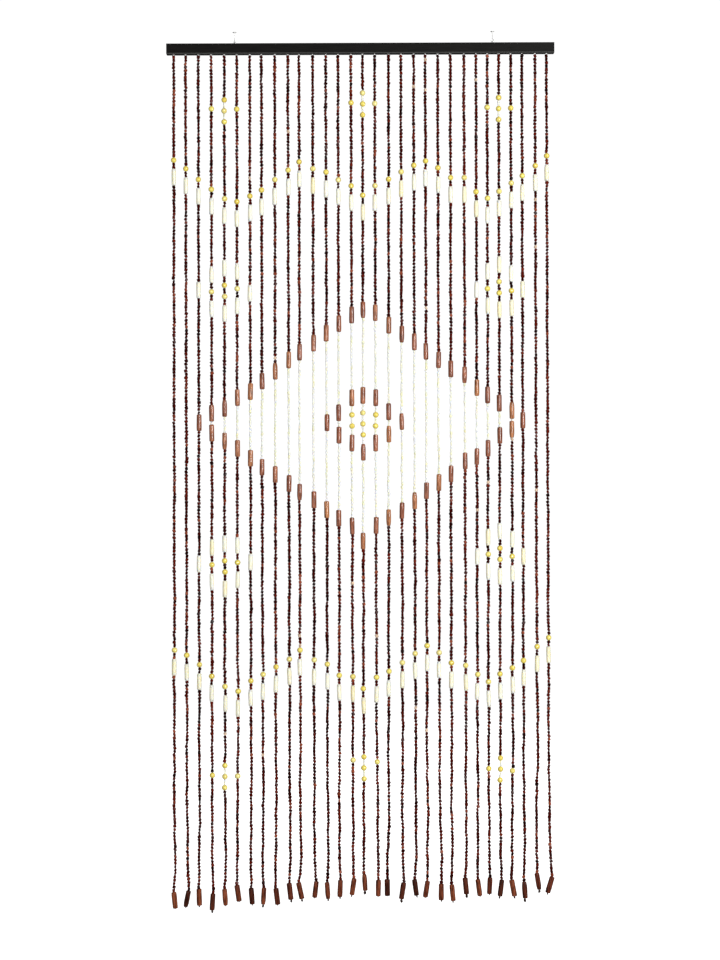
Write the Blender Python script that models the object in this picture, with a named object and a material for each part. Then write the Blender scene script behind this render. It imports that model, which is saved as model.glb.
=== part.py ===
"""Bead door curtain: a black wooden rail on two hooks, with thirty-one strings of wooden beads.

The curtain hangs in the plane y = 0, with its front towards -Y. The origin lies over the middle
of the rail, level with the tops of the hooks' flanges, where they meet the underside of a lintel.
Each string is one lofted solid of four sides that swells at every tube and ball, and all the
strings grow out of a strip that is let into the underside of the rail.
"""
import math

import bmesh
import bpy
from mathutils import Matrix, Vector

# Driving dimensions, in metres
MM = 0.001
RAIL_WIDTH = 0.900
RAIL_DEPTH = 0.020
RAIL_HEIGHT = 0.024
RAIL_DROP = 0.0275
STRIP_DEPTH = 0.010
STRIP_HEIGHT = 0.003
EDGE_ROUND = 0.0006
GAP = 0.0003
RAIL_UNDERSIDE = -RAIL_DROP - RAIL_HEIGHT

# Beads: the small ones are a plain run of one width, the tubes and balls are swells
RUN_WIDTH = 0.0066
TUBE_LENGTH = 0.038
TUBE_WIDTH = 0.0115
TUBE_TAPER = 0.0030
BALL_WIDTH = 0.0125
BALL_FLAT = 0.0052
BALL_TO_TUBE = 0.0395
KNOT_LENGTH = 0.0075
KNOT_WIDTH = 0.0040

# Hanging hardware: one row for each hook, its place along the rail and its turn in degrees
HOOKS = ((-0.292, 90.0), (0.307, 0.0))
HOOK_WIRE = 0.0018
HOOK_BOWL = 0.0030
BOWL_START = 60.0
BOWL_SWEEP = 260.0
FLANGE_WIDTH = 0.0095
FLANGE_HEIGHT = 0.0012
EYE_WIRE = 0.0015
EYE_RING = 0.0022
EYE_SHANK = 0.008
WIRE_SIDES = 10
RING_STEPS = 20
BOWL_STEPS = 14

# One row for each string, in millimetres. Heights are measured down from the top of the rail.
# across: place at the rail. at_mid to at_end: how far it has strayed sideways by then.
# zig_high, zig_low: balls of the two zigzag bands. dia_high, dia_low: middles of the two tubes
# that edge the diamond. end, lean: middle of the last tube, and how far its foot is off plumb.
STRING_COLUMNS = ("across", "at_mid", "at_band", "at_low", "at_foot", "at_end",
                  "zig_high", "dia_high", "dia_low", "zig_low", "end", "lean")
STRING_ROWS = (
    (-433.5, -3.0, -4.5, -4.5, -3.0, -5.0, 269, None, None, 1407, 1988, 5),
    (-406.0, -2.0, -2.5, -2.5, -2.0, -3.0, 289, None, None, 1419, 1985, -7),
    (-376.5, -2.5, -3.0, -3.5, -4.0, -4.5, 314, 879, None, 1441, 1981, 1),
    (-346.5, -2.5, -4.0, -3.5, -4.0, -4.0, 337, 857, 903, 1468, 1992, -1),
    (-316.0, -3.5, -4.0, -4.0, -4.0, -4.5, 359, 846, 922, 1492, 1981, 2),
    (-287.0, -3.0, -2.5, -5.0, -6.0, -3.5, 366, 821, 939, 1503, 1972, 4),
    (-257.0, -2.0, -2.5, -2.5, -3.5, -3.0, 353, 807, 962, 1479, 1979, 3),
    (-230.0, -2.0, -1.5, -2.0, -3.0, -2.5, 339, 783, 983, 1464, 1979, -2),
    (-199.0, -2.5, -2.5, -3.0, -3.5, -3.0, 315, 760, 1000, 1447, 1980, 3),
    (-168.5, -1.0, -1.5, -1.0, -1.5, -0.5, 293, 734, 1021, 1429, 1968, 5),
    (-142.5, -2.5, -2.5, -3.0, -2.0, -3.5, 274, 716, 1041, 1408, 1967, 8),
    (-111.0, -1.0, -2.0, -1.5, -1.5, -1.5, 290, 695, 1059, 1431, 1964, -5),
    (-80.5, -1.0, -1.5, -1.5, -0.5, -1.5, 298, 672, 1082, 1441, 1967, 2),
    (-52.0, -1.5, -2.0, -2.5, -3.5, -2.0, 316, 650, 1102, 1467, 1962, 0),
    (-22.0, -1.0, -0.5, -2.0, -0.5, -2.0, 330, 630, 1120, 1470, 1958, -5),
    (5.0, -2.5, -3.0, -2.5, -4.0, -3.0, 352, 618, 1155, 1498, 1948, 2),
    (33.0, -0.5, -0.5, 1.5, 2.0, 1.5, 330, 625, 1119, 1472, 1961, -2),
    (65.5, -4.0, -6.0, -5.0, -9.0, -9.5, 315, 654, 1101, 1458, 1960, 0),
    (94.0, -1.0, -1.5, -2.5, -2.0, -3.5, 298, 675, 1085, 1438, 1968, -5),
    (123.5, -1.0, -0.5, -0.5, -1.0, -1.5, 283, 693, 1062, 1417, 1960, 6),
    (150.5, -0.5, -1.5, 0.0, -1.0, -3.5, 273, 715, 1039, 1399, 1964, -5),
    (179.5, -1.0, -1.0, 0.0, 2.0, 2.0, 289, 735, 1020, 1415, 1971, 0),
    (209.0, -2.5, -2.5, -3.0, -2.5, -2.5, 312, 756, 1000, 1439, 1973, 4),
    (240.5, -1.0, -0.5, -1.0, -1.5, -1.5, 312, 770, 970, 1445, 1957, 3),
    (268.5, -1.5, -2.0, -2.0, -1.5, -0.5, 345, 800, 960, 1466, 1961, 4),
    (294.5, -2.0, -2.0, -1.5, -2.0, -1.0, 360, 817, 941, 1483, 1957, 0),
    (321.0, -1.0, -1.5, -2.0, -2.0, -2.0, 344, 836, 911, 1465, 1962, -4),
    (349.0, 0.0, -0.5, -2.0, -4.0, -1.5, 325, 853, 897, 1451, 1962, 8),
    (375.0, -1.0, -1.0, -0.5, -0.5, -0.5, 308, 876, None, 1434, 1967, 2),
    (405.5, -0.5, 1.0, -2.5, -2.0, -0.5, 285, None, None, 1402, 1947, 6),
    (432.0, 0.0, 0.0, 0.5, 3.0, 2.0, 262, None, None, 1381, 1955, -12),
)
STRINGS = [dict(zip(STRING_COLUMNS, row)) for row in STRING_ROWS]
MID_HEIGHT = 1.316
BAND_HEIGHT = 1.640
LOW_HEIGHT = 1.780
FOOT_HEIGHT = 1.890

# Layouts of the motifs, in millimetres from a motif's middle, by distance from its middle string
LAYOUTS = {
    "star": {0: (("ball", -25.5), ("ball", 0), ("ball", 25.5)),
             1: (("ball", 0),)},
    "flower": {0: (("tube", -52.5), ("ball", -13), ("ball", 13), ("tube", 52.5)),
               1: (("tube", -40), ("ball", 0), ("tube", 40)),
               2: (("tube", 0),)},
    "hexagon": {0: (("tube", -66), ("ball", -25.5), ("ball", 0), ("ball", 25.5), ("tube", 66)),
                1: (("tube", -52.5), ("ball", -13), ("ball", 13), ("tube", 52.5)),
                2: (("tube", -26), ("tube", 26)),
                3: (("tube", 0),)},
}
# One row for each motif: its layout, its first string, and its middle's height on each string
MOTIF_ROWS = (
    ("star", 3, (150, 155, 151)),
    ("star", 14, (137, 140, 139)),
    ("star", 25, (149, 152, 151)),
    ("flower", 2, (571, 575, 573, 568, 579)),
    ("flower", 24, (572, 570, 567, 575, 572)),
    ("hexagon", 12, (880, 883, 875, 883, 875, 881, 878)),
    ("flower", 2, (1207, 1209, 1213, 1204, 1203)),
    ("flower", 24, (1192, 1187, 1186, 1192, 1192)),
    ("star", 3, (1698, 1701, 1700)),
    ("star", 14, (1664, 1682, 1668)),
    ("star", 25, (1685, 1686, 1690)),
)


def clear_scene():
    """Removes every object that the file holds."""
    for old in list(bpy.data.objects):
        bpy.data.objects.remove(old, do_unlink=True)


def make_material(name, colour, roughness, metallic=0.0):
    """Makes one plain finish."""
    material = bpy.data.materials.new(name)
    material.use_nodes = True
    shader = material.node_tree.nodes["Principled BSDF"]
    shader.inputs["Base Color"].default_value = (*colour, 1.0)
    shader.inputs["Roughness"].default_value = roughness
    shader.inputs["Metallic"].default_value = metallic
    return material


def make_object(name, bm, material, parent):
    """Turns a finished bmesh into a named object under the hanging point."""
    bmesh.ops.recalc_face_normals(bm, faces=bm.faces)
    mesh = bpy.data.meshes.new(name)
    bm.to_mesh(mesh)
    bm.free()
    mesh.materials.append(material)
    thing = bpy.data.objects.new(name, mesh)
    thing.parent = parent
    bpy.context.collection.objects.link(thing)
    return thing


def box_bmesh(size, centre):
    """Makes a closed box of the given size around its centre."""
    bm = bmesh.new()
    bmesh.ops.create_cube(bm, size=1.0)
    bmesh.ops.scale(bm, vec=size, verts=bm.verts)
    bmesh.ops.translate(bm, vec=centre, verts=bm.verts)
    return bm


def add_boolean(target, cutter, operation):
    """Joins or cuts the target with another object that is only a guide."""
    cutter.hide_render = True
    cutter.display_type = "WIRE"
    modifier = target.modifiers.new(operation.title(), "BOOLEAN")
    modifier.operation = operation
    modifier.object = cutter
    modifier.solver = "EXACT"


def make_rail(parent, paint):
    """The rail, with a groove under it for the strip and a blind hole for each screw eye."""
    bm = box_bmesh((RAIL_WIDTH, RAIL_DEPTH, RAIL_HEIGHT), (0.0, 0.0, -RAIL_DROP - RAIL_HEIGHT / 2))
    bmesh.ops.bevel(bm, geom=list(bm.edges), offset=EDGE_ROUND, segments=2,
                    profile=0.5, affect="EDGES")
    rail = make_object("rail", bm, paint, parent)
    groove_depth = STRIP_DEPTH + 2 * GAP
    groove_height = STRIP_HEIGHT + GAP
    bm = box_bmesh((2 * RAIL_WIDTH, groove_depth, 2 * groove_height), (0.0, 0.0, RAIL_UNDERSIDE))
    add_boolean(rail, make_object("groove_cutter", bm, paint, parent), "DIFFERENCE")
    hole_width = EYE_WIRE + 2 * GAP
    hole_depth = EYE_SHANK + GAP
    for number, (across, _) in enumerate(HOOKS, start=1):
        bm = bmesh.new()
        bmesh.ops.create_cone(bm, cap_ends=True, segments=WIRE_SIDES, radius1=hole_width / 2,
                              radius2=hole_width / 2, depth=2 * hole_depth)
        bmesh.ops.translate(bm, vec=(across, 0.0, -RAIL_DROP), verts=bm.verts)
        cutter = make_object(f"eye_hole_cutter_{number}", bm, paint, parent)
        add_boolean(rail, cutter, "DIFFERENCE")
    return rail


def beads_on(number):
    """Lists the tubes and balls of one string from the top down, as (kind, middle in metres)."""
    string = STRINGS[number]
    beads = []
    for band in ("zig_high", "zig_low"):
        ball = string[band] * MM
        beads.append(("ball", ball))
        beads.append(("tube", ball + BALL_TO_TUBE))
    for edge in ("dia_high", "dia_low"):
        if string[edge] is not None:
            beads.append(("tube", string[edge] * MM))
    for layout, first, heights in MOTIF_ROWS:
        if first <= number < first + len(heights):
            reach = abs(number - first - len(heights) // 2)
            for kind, offset in LAYOUTS[layout][reach]:
                beads.append((kind, (heights[number - first] + offset) * MM))
    beads.append(("tube", string["end"] * MM))
    return sorted(beads, key=lambda bead: bead[1])


def stray_at(string, height):
    """Says how far sideways a string has strayed at a height below the top of the rail."""
    end = string["end"] * MM
    lean = string["lean"] * MM / 2
    stops = (
        (RAIL_HEIGHT, 0.0),
        (MID_HEIGHT, string["at_mid"] * MM),
        (BAND_HEIGHT, string["at_band"] * MM),
        (LOW_HEIGHT, string["at_low"] * MM),
        (FOOT_HEIGHT, string["at_foot"] * MM),
        (end - TUBE_LENGTH / 2, string["at_end"] * MM - lean),
        (end + TUBE_LENGTH / 2, string["at_end"] * MM + lean),
    )
    for (above, left), (below, right) in zip(stops, stops[1:]):
        if height <= below:
            share = max(0.0, (height - above) / (below - above))
            return left + (right - left) * share
    return stops[-1][1]


def sections_of(number):
    """Lists one string's sections from the rail down, as (height, width)."""
    beads = beads_on(number)
    sections = []
    for kind, middle in beads:
        length = TUBE_LENGTH if kind == "tube" else BALL_WIDTH
        width = TUBE_WIDTH if kind == "tube" else BALL_WIDTH
        taper = TUBE_TAPER if kind == "tube" else (BALL_WIDTH - BALL_FLAT) / 2
        sections.append((middle - length / 2, RUN_WIDTH))
        sections.append((middle - length / 2 + taper, width))
        sections.append((middle + length / 2 - taper, width))
        sections.append((middle + length / 2, RUN_WIDTH))
    foot = sections[-1][0]
    for bend in (MID_HEIGHT, BAND_HEIGHT, LOW_HEIGHT, FOOT_HEIGHT):
        if all(abs(bend - middle) > TUBE_LENGTH / 2 + RUN_WIDTH for _, middle in beads):
            sections.append((bend, RUN_WIDTH))
    sections.sort()
    sections.append((foot + MM, KNOT_WIDTH))
    sections.append((foot + KNOT_LENGTH, KNOT_WIDTH))
    return sections


def cut_underside(bm, normal, place, whole):
    """Bisects the strip, or only its underside, with one plane."""
    if whole:
        geom = bm.verts[:] + bm.edges[:] + bm.faces[:]
    else:
        faces = [face for face in bm.faces if face.normal.z < -0.9]
        edges = {edge for face in faces for edge in face.edges}
        verts = {vert for face in faces for vert in face.verts}
        geom = faces + list(edges) + list(verts)
    bmesh.ops.bisect_plane(bm, geom=geom, plane_co=normal * place, plane_no=normal)


def make_strings(parent, wood):
    """The strip in the rail's groove, with every string drawn out of a square in its underside."""
    bm = box_bmesh((RAIL_WIDTH, STRIP_DEPTH, STRIP_HEIGHT),
                   (0.0, 0.0, RAIL_UNDERSIDE + STRIP_HEIGHT / 2))
    half = RUN_WIDTH / 2
    for string in STRINGS:
        for side in (-half, half):
            cut_underside(bm, Vector((1, 0, 0)), string["across"] * MM + side, True)
    for side in (-half, half):
        cut_underside(bm, Vector((0, 1, 0)), side, False)
    roots = []
    for string in STRINGS:
        spot = Vector((string["across"] * MM, 0.0, RAIL_UNDERSIDE))
        roots.append(min(bm.faces, key=lambda face: (face.calc_center_median() - spot).length))
    for number, face in enumerate(roots):
        string = STRINGS[number]
        for height, width in sections_of(number):
            old = face.calc_center_median()
            face = bmesh.ops.extrude_discrete_faces(bm, faces=[face])["faces"][0]
            x = string["across"] * MM + stray_at(string, height)
            for vert in face.verts:
                right = math.copysign(width / 2, vert.co.x - old.x)
                back = math.copysign(width / 2, vert.co.y - old.y)
                vert.co = Vector((x + right, back, -RAIL_DROP - height))
    return make_object("strings", bm, wood, parent)


def hook_stations():
    """A hook's middle line in its own plane, as (sideways, height, width), from the lintel down.

    Under the flange the shank runs straight down to the bowl, whose middle lies below it.
    """
    bowl_z = -RAIL_DROP + 2 * EYE_RING - GAP - HOOK_WIRE / 2 + HOOK_BOWL
    stations = [
        (0.0, 0.0, FLANGE_WIDTH),
        (0.0, -FLANGE_HEIGHT, FLANGE_WIDTH),
        (0.0, -FLANGE_HEIGHT, HOOK_WIRE),
        (0.0, bowl_z + 1.5 * HOOK_BOWL, HOOK_WIRE),
    ]
    for step in range(BOWL_STEPS + 1):
        angle = math.radians(BOWL_START - BOWL_SWEEP * step / BOWL_STEPS)
        side = HOOK_BOWL * math.cos(angle)
        stations.append((side, bowl_z + HOOK_BOWL * math.sin(angle), HOOK_WIRE))
    return stations


def make_hook(number, across, turn, parent, metal):
    """A cup hook: a round flange under the lintel, a straight shank and a bowl of bent wire."""
    bm = bmesh.new()
    stations = hook_stations()
    rings = []
    for at, (side, height, width) in enumerate(stations):
        before = stations[max(at - 1, 0)]
        after = stations[min(at + 1, len(stations) - 1)]
        along = Vector((after[0] - before[0], 0.0, after[1] - before[1])).normalized()
        outward = Vector((-along.z, 0.0, along.x))
        ring = []
        for corner in range(WIRE_SIDES):
            angle = math.tau * corner / WIRE_SIDES
            reach = outward * math.cos(angle) + Vector((0.0, math.sin(angle), 0.0))
            ring.append(bm.verts.new(Vector((side, 0.0, height)) + reach * width / 2))
        rings.append(ring)
    for upper, lower in zip(rings, rings[1:]):
        for corner in range(WIRE_SIDES):
            other = (corner + 1) % WIRE_SIDES
            bm.faces.new((upper[corner], upper[other], lower[other], lower[corner]))
    bm.faces.new(rings[0])
    bm.faces.new(rings[-1])
    bmesh.ops.recalc_face_normals(bm, faces=bm.faces)
    turned = Matrix.Rotation(math.radians(turn), 3, "Z")
    bmesh.ops.rotate(bm, verts=bm.verts, cent=(0.0, 0.0, 0.0), matrix=turned)
    bmesh.ops.translate(bm, verts=bm.verts, vec=(across, 0.0, 0.0))
    return make_object(f"hook_{number}", bm, metal, parent)


def make_eye(number, across, turn, parent, metal):
    """A screw eye: a closed wire ring, square to its hook, on a shank in the rail's blind hole."""
    ring_z = -RAIL_DROP + EYE_WIRE / 2 + EYE_RING
    bm = bmesh.new()
    spot = Matrix.Translation((across, EYE_RING, ring_z)) @ Matrix.Rotation(math.pi / 2, 4, "Z")
    bmesh.ops.create_circle(bm, cap_ends=False, segments=WIRE_SIDES, radius=EYE_WIRE / 2, matrix=spot)
    bmesh.ops.spin(bm, geom=bm.verts[:] + bm.edges[:], cent=(across, 0.0, ring_z), axis=(1, 0, 0),
                   angle=2 * math.pi, steps=RING_STEPS, use_merge=True)
    bmesh.ops.remove_doubles(bm, verts=bm.verts, dist=0.00001)
    turned = Matrix.Rotation(math.radians(turn), 3, "Z")
    bmesh.ops.rotate(bm, verts=bm.verts, cent=(across, 0.0, 0.0), matrix=turned)
    eye = make_object(f"eye_{number}", bm, metal, parent)
    bm = bmesh.new()
    length = EYE_SHANK + EYE_WIRE / 2
    bmesh.ops.create_cone(bm, cap_ends=True, segments=WIRE_SIDES, radius1=EYE_WIRE / 2,
                          radius2=EYE_WIRE / 2, depth=length)
    bmesh.ops.translate(bm, vec=(across, 0.0, -RAIL_DROP + EYE_WIRE / 2 - length / 2), verts=bm.verts)
    shank = make_object(f"eye_shank_guide_{number}", bm, metal, parent)
    add_boolean(eye, shank, "UNION")
    return eye


def build():
    """Builds the whole curtain under one hanging point."""
    clear_scene()
    hanging_point = bpy.data.objects.new("hanging_point", None)
    bpy.context.collection.objects.link(hanging_point)
    paint = make_material("black_painted_wood", (0.012, 0.011, 0.010), 0.45)
    wood = make_material("stained_wood", (0.10, 0.030, 0.015), 0.40)
    metal = make_material("plated_steel", (0.70, 0.70, 0.68), 0.30, 1.0)
    make_rail(hanging_point, paint)
    make_strings(hanging_point, wood)
    for number, (across, turn) in enumerate(HOOKS, start=1):
        make_eye(number, across, turn, hanging_point, metal)
        make_hook(number, across, turn, hanging_point, metal)


build()
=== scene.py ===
import math
import random

import bpy
from mathutils import Matrix, Vector


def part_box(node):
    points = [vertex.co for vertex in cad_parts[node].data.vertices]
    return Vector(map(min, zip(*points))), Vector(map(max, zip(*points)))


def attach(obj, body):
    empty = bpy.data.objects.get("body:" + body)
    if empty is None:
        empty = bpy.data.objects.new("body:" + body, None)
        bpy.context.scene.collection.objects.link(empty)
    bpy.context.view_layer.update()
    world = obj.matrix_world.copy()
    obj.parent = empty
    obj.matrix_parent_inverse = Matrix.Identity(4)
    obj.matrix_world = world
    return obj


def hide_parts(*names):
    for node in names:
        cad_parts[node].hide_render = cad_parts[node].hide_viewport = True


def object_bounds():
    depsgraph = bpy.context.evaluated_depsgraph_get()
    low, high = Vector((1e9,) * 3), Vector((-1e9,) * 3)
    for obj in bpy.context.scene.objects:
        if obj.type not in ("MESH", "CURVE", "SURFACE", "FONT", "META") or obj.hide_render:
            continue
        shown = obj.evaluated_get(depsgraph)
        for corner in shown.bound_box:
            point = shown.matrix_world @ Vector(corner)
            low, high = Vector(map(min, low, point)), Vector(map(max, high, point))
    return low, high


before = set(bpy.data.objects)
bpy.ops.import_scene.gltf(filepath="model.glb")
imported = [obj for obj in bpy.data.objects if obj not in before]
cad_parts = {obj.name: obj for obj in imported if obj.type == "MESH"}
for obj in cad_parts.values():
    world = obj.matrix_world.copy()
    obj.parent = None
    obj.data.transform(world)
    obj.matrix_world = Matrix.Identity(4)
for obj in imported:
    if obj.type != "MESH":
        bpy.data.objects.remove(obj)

CAD_BOX = [list(corner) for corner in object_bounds()]
MM = 0.001
bpy.ops.object.select_all(action="DESELECT")


# The rail is a straight bar of softwood under satin black paint, through which the grain
# shows a little. It hangs level. It has dusty specks, and a painted highlight along its lower front
# edge.
RAIL_LOW, RAIL_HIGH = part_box("rail")
# A pale band painted along the rail's lower front edge as a highlight: it fades out by this height
# above the bottom and this depth behind the front, and is full within the last depth.
HIGHLIGHT_HEIGHT = 0.0024
HIGHLIGHT_DEPTH = 0.0012
FULL_HIGHLIGHT_DEPTH = 0.0004


def finish_of(name, roughness, metallic=0.0):
    """Starts a finish with its own roughness, and gives back its material, nodes and shader."""
    material = bpy.data.materials.new(name)
    material.use_nodes = True
    tree = material.node_tree
    shader = tree.nodes["Principled BSDF"]
    shader.inputs["Roughness"].default_value = roughness
    shader.inputs["Metallic"].default_value = metallic
    return material, tree, shader


def add_node(tree, kind, values=(), **settings):
    """Adds one shader node, with its settings and the values of its free sockets."""
    node = tree.nodes.new(kind)
    for setting, value in settings.items():
        setattr(node, setting, value)
    for socket, value in dict(values).items():
        node.inputs[socket].default_value = value
    return node


def stretched_noise(tree, stretch, scale, detail=4.0, shift=None):
    """Noise on the piece's own coordinates, drawn out along its grain; shift sets copies apart."""
    place = add_node(tree, "ShaderNodeTexCoord").outputs["Object"]
    if shift is not None:
        spread = add_node(tree, "ShaderNodeVectorMath", {1: (3.1, 5.3, 2.7)}, operation="MULTIPLY")
        tree.links.new(shift, spread.inputs[0])
        moved = add_node(tree, "ShaderNodeVectorMath", operation="ADD")
        tree.links.new(place, moved.inputs[0])
        tree.links.new(spread.outputs[0], moved.inputs[1])
        place = moved.outputs[0]
    mapping = add_node(tree, "ShaderNodeMapping", {"Scale": stretch})
    tree.links.new(place, mapping.inputs["Vector"])
    noise = add_node(tree, "ShaderNodeTexNoise", {"Scale": scale, "Detail": detail})
    tree.links.new(mapping.outputs[0], noise.inputs["Vector"])
    return noise.outputs["Fac"]


def colour_ramp(tree, source, stops):
    """Turns a value into colours; each stop is a place from 0 to 1 and a colour."""
    ramp = add_node(tree, "ShaderNodeValToRGB")
    elements = ramp.color_ramp.elements
    elements[0].position, elements[0].color = stops[0][0], (*stops[0][1], 1.0)
    elements[1].position, elements[1].color = stops[-1][0], (*stops[-1][1], 1.0)
    for place, colour in stops[1:-1]:
        elements.new(place).color = (*colour, 1.0)
    tree.links.new(source, ramp.inputs[0])
    return ramp.outputs["Color"]


def mixed(tree, share, first, second, blend="MIX"):
    """Mixes two colours; the share is a socket or a plain number."""
    mix = add_node(tree, "ShaderNodeMix", data_type="RGBA", blend_type=blend)
    for socket, value in zip((0, 6, 7), (share, first, second)):
        if isinstance(value, bpy.types.NodeSocket):
            tree.links.new(value, mix.inputs[socket])
        else:
            mix.inputs[socket].default_value = value if socket == 0 else (*value, 1.0)
    return mix.outputs[2]


def raise_grain(tree, shader, source, strength, distance):
    """Lets a value raise the surface a little."""
    bump = add_node(tree, "ShaderNodeBump", {"Strength": strength, "Distance": distance})
    tree.links.new(source, bump.inputs["Height"])
    tree.links.new(bump.outputs[0], shader.inputs["Normal"])


def vary_roughness(tree, shader, source, low, high):
    """Spreads the roughness between two values over the surface."""
    spread = add_node(tree, "ShaderNodeMapRange", {"To Min": low, "To Max": high})
    tree.links.new(source, spread.inputs["Value"])
    tree.links.new(spread.outputs[0], shader.inputs["Roughness"])


def black_paint():
    """Satin black paint over long wood grain, with dusty specks and a painted highlight on the lower
    front arris.
    """
    material, tree, shader = finish_of("black_paint", 0.4)
    grain = stretched_noise(tree, (3.0, 90.0, 90.0), 9.0, 6.0)
    tint = colour_ramp(tree, grain, ((0.3, (0.003, 0.003, 0.003)), (0.7, (0.009, 0.008, 0.007))))
    specks = stretched_noise(tree, (1.0, 1.0, 1.0), 900.0, 2.0)
    worn = colour_ramp(tree, specks, ((0.68, (0.0, 0.0, 0.0)), (0.80, (0.20, 0.20, 0.20))))
    speckled = mixed(tree, worn, tint, (0.16, 0.13, 0.11))
    place = add_node(tree, "ShaderNodeTexCoord").outputs["Object"]
    axes = add_node(tree, "ShaderNodeSeparateXYZ")
    tree.links.new(place, axes.inputs[0])
    low = add_node(tree, "ShaderNodeMapRange", {
        "From Min": RAIL_LOW.z + HIGHLIGHT_HEIGHT, "From Max": RAIL_LOW.z + HIGHLIGHT_HEIGHT / 2})
    tree.links.new(axes.outputs["Z"], low.inputs["Value"])
    front = add_node(tree, "ShaderNodeMapRange", {
        "From Min": RAIL_LOW.y + HIGHLIGHT_DEPTH, "From Max": RAIL_LOW.y + FULL_HIGHLIGHT_DEPTH})
    tree.links.new(axes.outputs["Y"], front.inputs["Value"])
    # Painted highlight: the lower front edge is mixed towards pale grey where the rounded arris
    # would catch light.
    painted_highlight = add_node(tree, "ShaderNodeMath", operation="MULTIPLY")
    tree.links.new(low.outputs[0], painted_highlight.inputs[0])
    tree.links.new(front.outputs[0], painted_highlight.inputs[1])
    arris = mixed(tree, painted_highlight.outputs[0], speckled, (0.062, 0.062, 0.060))
    tree.links.new(arris, shader.inputs["Base Color"])
    vary_roughness(tree, shader, grain, 0.34, 0.50)
    raise_grain(tree, shader, grain, 0.25, 0.0003)
    shader.inputs["Specular IOR Level"].default_value = 0.10
    return material


PAINT = black_paint()
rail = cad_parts["rail"]
rail.data.materials.clear()
rail.data.materials.append(PAINT)


# The strip is a thin lath let into a groove in the rail's underside, painted with it. Every
# string hangs from it, and with them it takes the place of the plain strings of the frame.
STRIP_DEPTH = 0.010
STRIP_HEIGHT = 0.003
STRIP_EDGE = 0.0004


def alone(thing):
    """Selects one object and nothing else."""
    bpy.ops.object.select_all(action="DESELECT")
    thing.select_set(True)
    bpy.context.view_layer.objects.active = thing


def settle(thing):
    """Moves an object's place, turn and size into its mesh."""
    alone(thing)
    bpy.ops.object.transform_apply(location=True, rotation=True, scale=True)


def hand_over(piece, slot, *replaced):
    """Puts a finished piece on the curtain's one body and hides the parts it replaces; the slot is
    not used.
    """
    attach(piece, "root")
    if replaced:
        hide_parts(*replaced)


rail_long = RAIL_HIGH.x - RAIL_LOW.x
bpy.ops.mesh.primitive_cube_add(size=1.0, location=(0.0, 0.0, RAIL_LOW.z + STRIP_HEIGHT / 2))
strip = bpy.context.object
strip.name = "strip"
strip.scale = (rail_long, STRIP_DEPTH, STRIP_HEIGHT)
settle(strip)
bpy.ops.object.mode_set(mode="EDIT")
bpy.ops.mesh.select_all(action="SELECT")
bpy.ops.mesh.bevel(offset=STRIP_EDGE, segments=2, affect="EDGES")
bpy.ops.object.mode_set(mode="OBJECT")
strip.data.materials.append(PAINT)
hand_over(strip, "rail_paint", "strings")
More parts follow.
